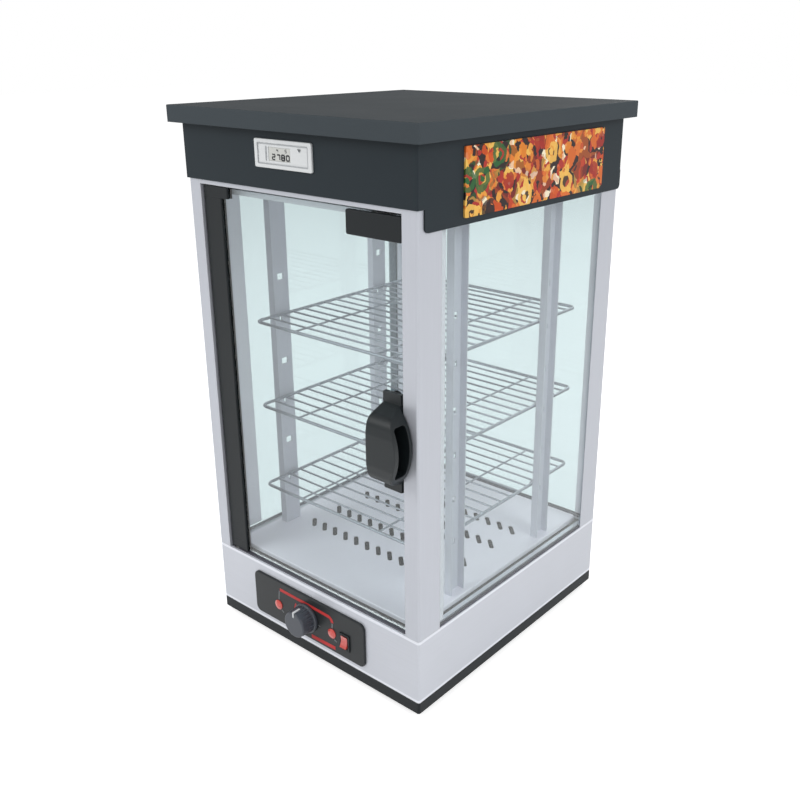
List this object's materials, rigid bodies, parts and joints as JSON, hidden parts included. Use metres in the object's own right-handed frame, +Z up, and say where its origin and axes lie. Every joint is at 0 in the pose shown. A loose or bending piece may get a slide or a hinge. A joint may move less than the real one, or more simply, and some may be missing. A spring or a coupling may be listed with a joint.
{
  "type": "electric food warmer",
  "caption": "Countertop electric food warmer: glazed heated cabinet with wire shelves, hinged glass door, thermostat panel and dark light-box head.",
  "frame": {"origin": "bottom centre of the whole object's box, on the surface that the feet stand on", "axes": "+Z up, the door and control panel face -Y, +X to the right as seen from the front"},
  "size_m": [0.3776, 0.4228, 0.6705],
  "materials": {
    "rubber": "matte moulded rubber",
    "screw_steel": "bright zinc-plated steel",
    "black_edge": "black stove enamel",
    "stainless": "satin stainless sheet",
    "element_steel": "heat-darkened steel sheath",
    "ceramic": "glazed ceramic",
    "black_plastic": "fine-grained black plastic",
    "panel_plastic": "satin black fascia with printed lines",
    "zinc_steel": "zinc-plated steel",
    "knob_plastic": "dark grey moulded plastic",
    "red_lens": "translucent red lens",
    "red_rocker": "red moulded rocker",
    "glass": "clear tempered glass with a faint cyan tint",
    "black_rubber": "black gasket rubber",
    "chrome_wire": "bright plated wire",
    "dark_paint": "dark slate powder coat",
    "picture_film": null,
    "lamp_glass": "opal lamp glass",
    "white_plastic": "white moulded plastic",
    "lcd": "grey liquid-crystal pane",
    "nylon": "natural nylon"
  },
  "bodies": {
    "cabinet": {"rubber_feet": "rubber", "case_screws": "screw_steel", "plinth_tray": "black_edge", "base_shell": "stainless", "floor_plate": "stainless", "heater_element": "element_steel", "heater_brackets": "stainless", "heat_shield": "stainless", "terminal_block": "ceramic", "cable_gland": "black_plastic", "gland_locknut": "black_plastic", "control_panel": "panel_plastic", "thermostat_body": "zinc_steel", "lamp_lenses": "red_lens", "lamp_bodies": "black_plastic", "switch_housing": "black_plastic", "side_glass_left": "glass", "side_glass_right": "glass", "rear_glass": "glass", "glass_seals": "black_rubber", "glazing_beads": "stainless", "front_rail": "stainless", "door_sill": "black_rubber", "shelf_hooks": "chrome_wire", "head_shell": "dark_paint", "cap_lid": "dark_paint", "ceiling_panel": "stainless", "picture_panel": "picture_film", "head_lamp": "lamp_glass", "lamp_holders": "white_plastic", "thermometer_case": "white_plastic", "thermometer_display": "lcd", "thermometer_probe": "chrome_wire", "hinge_bushes": "nylon", "magnet_catch": "black_plastic", "corner_post_front_left": "stainless", "shelf_upright_front_left": "stainless", "corner_post_front_right": "stainless", "shelf_upright_front_right": "stainless", "corner_post_rear_left": "stainless", "shelf_upright_rear_left": "stainless", "corner_post_rear_right": "stainless", "shelf_upright_rear_right": "stainless"},
    "door": {"door_glass": "glass", "door_stile": "black_plastic", "hinge_arm_top": "black_plastic", "hinge_arm_bottom": "black_plastic", "hinge_pins": "zinc_steel", "corner_block": "black_plastic", "catch_keeper": "zinc_steel", "door_screws": "screw_steel", "door_handle": "black_plastic", "handle_pads": "black_rubber"},
    "knob": {"thermostat_knob": "knob_plastic", "thermostat_shaft": "zinc_steel"},
    "rocker": {"switch_rocker": "red_rocker"},
    "shelf_bottom": {"wire_shelf_bottom": "chrome_wire"},
    "shelf_middle": {"wire_shelf_middle": "chrome_wire"},
    "shelf_top": {"wire_shelf_top": "chrome_wire"}
  },
  "joints": [
    {"name": "door_hinge", "type": "hinge", "parent": "cabinet", "child": "door", "pos_m": [-0.1455, -0.1744, 0.34], "axis": [0, 0, -1], "range_deg": [0, 100]},
    {"name": "thermostat_turn", "type": "hinge", "parent": "cabinet", "child": "knob", "pos_m": [-0.006, -0.1824, 0.0625], "axis": [0, 1, 0], "range_deg": [0, 270]},
    {"name": "switch_rock", "type": "hinge", "parent": "cabinet", "child": "rocker", "pos_m": [0.06, -0.1824, 0.056], "axis": [1, 0, 0], "range_deg": [0, 18]},
    {"name": "shelf_bottom_lift", "type": "slide", "parent": "cabinet", "child": "shelf_bottom", "axis": [0, 0, 1], "range_m": [0, 0.02]},
    {"name": "shelf_middle_lift", "type": "slide", "parent": "cabinet", "child": "shelf_middle", "axis": [0, 0, 1], "range_m": [0, 0.02]},
    {"name": "shelf_top_lift", "type": "slide", "parent": "cabinet", "child": "shelf_top", "axis": [0, 0, 1], "range_m": [0, 0.02]}
  ]
}
